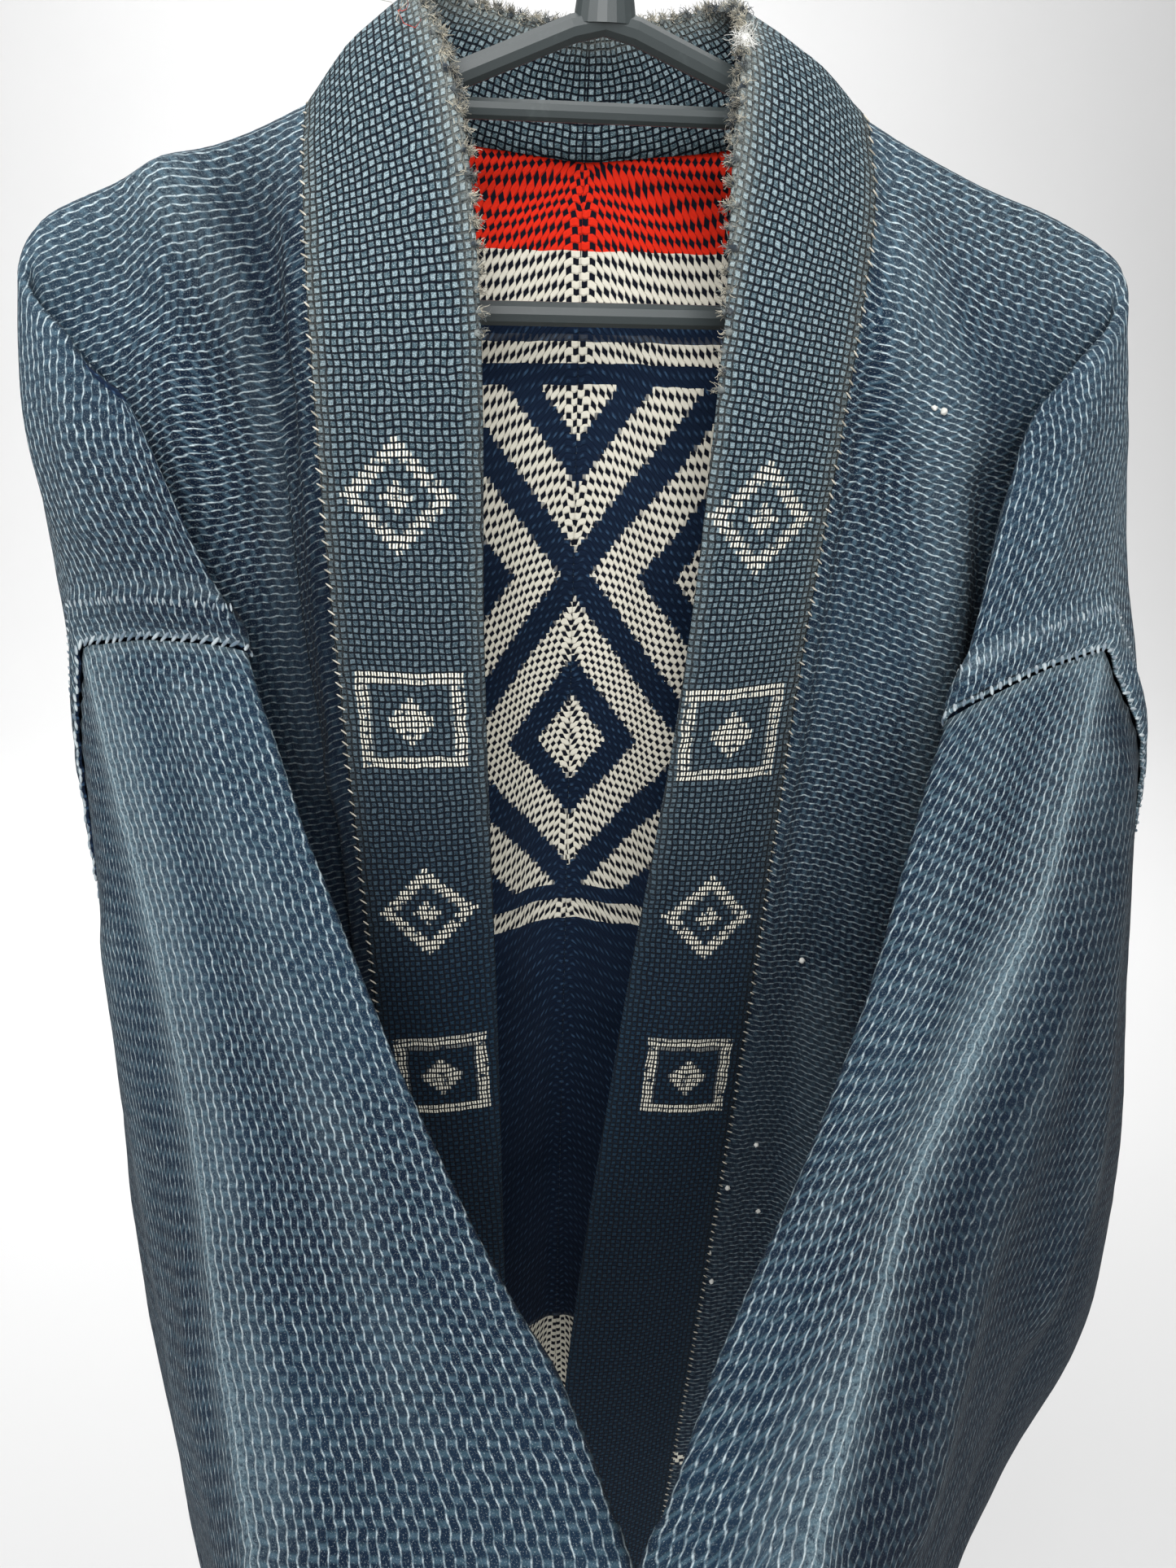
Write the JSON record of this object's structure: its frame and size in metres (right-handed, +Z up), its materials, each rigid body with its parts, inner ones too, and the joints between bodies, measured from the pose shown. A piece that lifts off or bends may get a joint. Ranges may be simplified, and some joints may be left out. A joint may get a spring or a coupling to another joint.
{
  "type": "happi coat on a hanger",
  "caption": "Open-fronted quilted cotton happi coat with wide sleeves and a folded collar band, hung on a moulded plastic hanger with a wire hook.",
  "frame": {"origin": "the hook's seat, where a rail carries the hanger", "axes": "+X to the right of someone who faces the coat's open front, +Y to its back, +Z up"},
  "size_m": [0.4486, 0.3779, 1.0024],
  "materials": {
    "sashiko_cotton": "worn navy sashiko weave with light ribs",
    "collar_basketweave": "coarse basket weave, faded and fuzzy at the edges",
    "hanger_plastic": "satin dark grey plastic",
    "hook_steel": "bright steel wire"
  },
  "bodies": {
    "root": {"body_right": "sashiko_cotton", "body_left": "sashiko_cotton", "sleeve_right": "sashiko_cotton", "sleeve_left": "sashiko_cotton", "collar": "collar_basketweave", "hanger_frame": "hanger_plastic", "hanger_hook": "hook_steel"}
  },
  "joints": []
}
